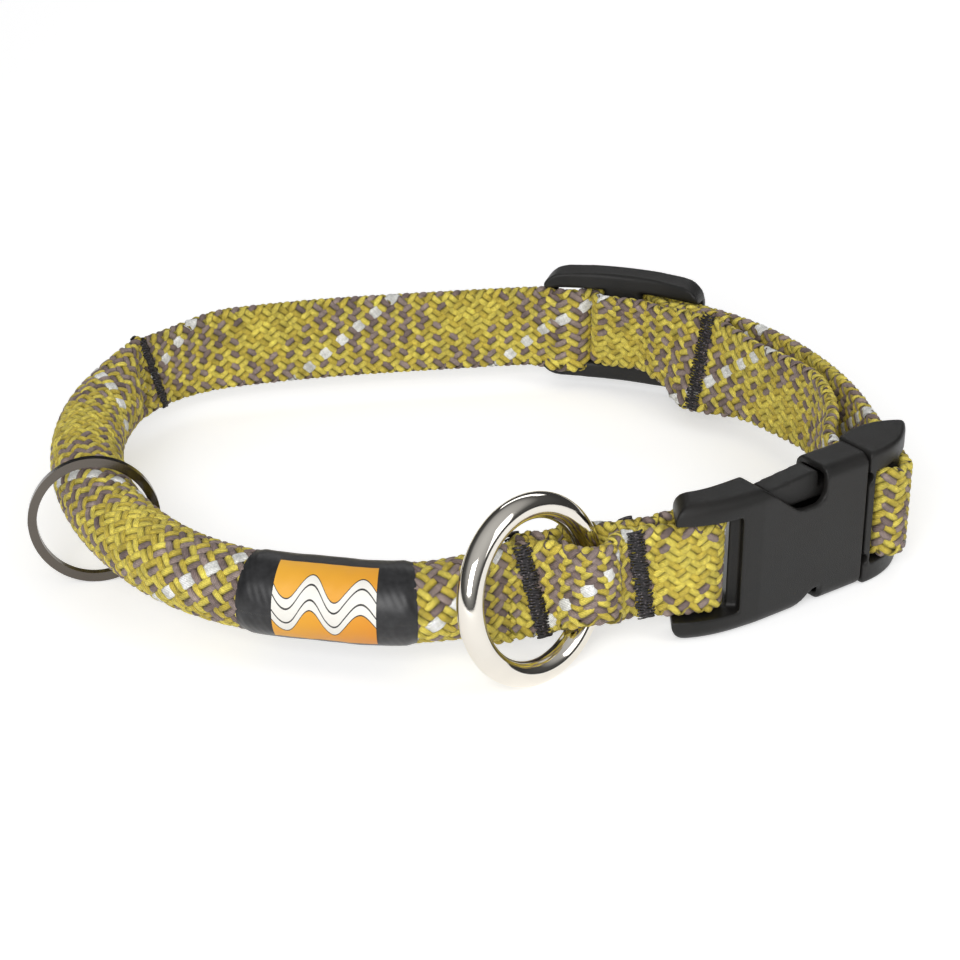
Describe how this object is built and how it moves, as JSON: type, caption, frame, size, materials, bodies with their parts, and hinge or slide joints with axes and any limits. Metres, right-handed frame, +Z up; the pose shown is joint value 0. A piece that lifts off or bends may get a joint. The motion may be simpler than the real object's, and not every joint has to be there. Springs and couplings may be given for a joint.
{
  "type": "adjustable rope dog collar",
  "caption": "Adjustable dog collar of tubular braid, round over a core at the front and flat at the back, with a side-release buckle, slider and leash ring.",
  "frame": {"origin": "under the middle of the closed collar's bounding box, on the surface that it stands on", "axes": "+Z up, the way the collar stands on its lower edge; +X to the right along the longer side, so that the buckle is at +X; +Y from the leash ring's side at the front to the slider's side at the back"},
  "size_m": [0.1678, 0.142, 0.0344],
  "materials": {
    "braid": "coarse tubular braid in olive yellow and taupe grey yarns with white reflective tracers",
    "core": "stranded filler",
    "stitching": "dense black thread",
    "satin": "woven satin",
    "label": null,
    "chrome_steel": "polished",
    "split_ring_steel": "nickel plated",
    "buckle_plastic": "moulded, fine grain",
    "slider_plastic": "moulded, fine grain"
  },
  "bodies": {
    "collar": {"braided_sheath": "braid", "rope_core": "core", "front_strap_outer": "braid", "front_strap_inner": "braid", "socket_fold": "braid", "bar_tack_1": "stitching", "bar_tack_2": "stitching", "bar_tack_3": "stitching", "back_strap": "braid", "outer_strap": "braid", "inner_strap": "braid", "satin_sleeve": "satin", "label_panel": "label", "socket_half": "buckle_plastic"},
    "plug": {"plug_base": "buckle_plastic", "guide_tongue": "buckle_plastic", "plug_fold": "braid"},
    "upper_prong": {"upper_prong": "buckle_plastic"},
    "lower_prong": {"lower_prong": "buckle_plastic"},
    "slider": {"slider_frame": "slider_plastic", "end_loop": "braid", "bar_tack_4": "stitching"},
    "leash_ring": {"leash_ring": "chrome_steel"},
    "tag_ring": {"tag_ring": "split_ring_steel"}
  },
  "joints": [
    {"name": "buckle_release", "type": "slide", "parent": "collar", "child": "plug", "axis": [0.809, 0.5878, 0], "range_m": [0, 0.022], "deforming": ["outer_strap", "inner_strap", "upper_prong", "lower_prong"]},
    {"name": "upper_prong_squeeze", "type": "hinge", "parent": "plug", "child": "upper_prong", "pos_m": [0.07189, -0.02228, 0.02264], "axis": [0.5878, -0.809, 0], "range_deg": [0, 8], "stiffness_Nm_per_rad": 1.6},
    {"name": "lower_prong_squeeze", "type": "hinge", "parent": "plug", "child": "lower_prong", "pos_m": [0.07189, -0.02228, 0.00544], "axis": [-0.5878, 0.809, 0], "range_deg": [0, 8], "stiffness_Nm_per_rad": 1.6},
    {"name": "slider_adjust", "type": "hinge", "parent": "collar", "child": "slider", "pos_m": [0.01273, -0.03727, 0.01404], "axis": [0, 0, 1], "range_deg": [0, 25], "deforming": ["outer_strap", "inner_strap"]},
    {"name": "leash_ring_swing", "type": "hinge", "parent": "collar", "child": "leash_ring", "pos_m": [0.0219, -0.04701, 0.01404], "axis": [0, 0, 1], "range_deg": [-3, 88], "deforming": ["front_strap_outer", "front_strap_inner"]},
    {"name": "tag_ring_swing", "type": "hinge", "parent": "collar", "child": "tag_ring", "pos_m": [-0.06899, -0.02141, 0.01404], "axis": [-0.4332, 0.9013, 0], "range_deg": [-90, 90]}
  ]
}
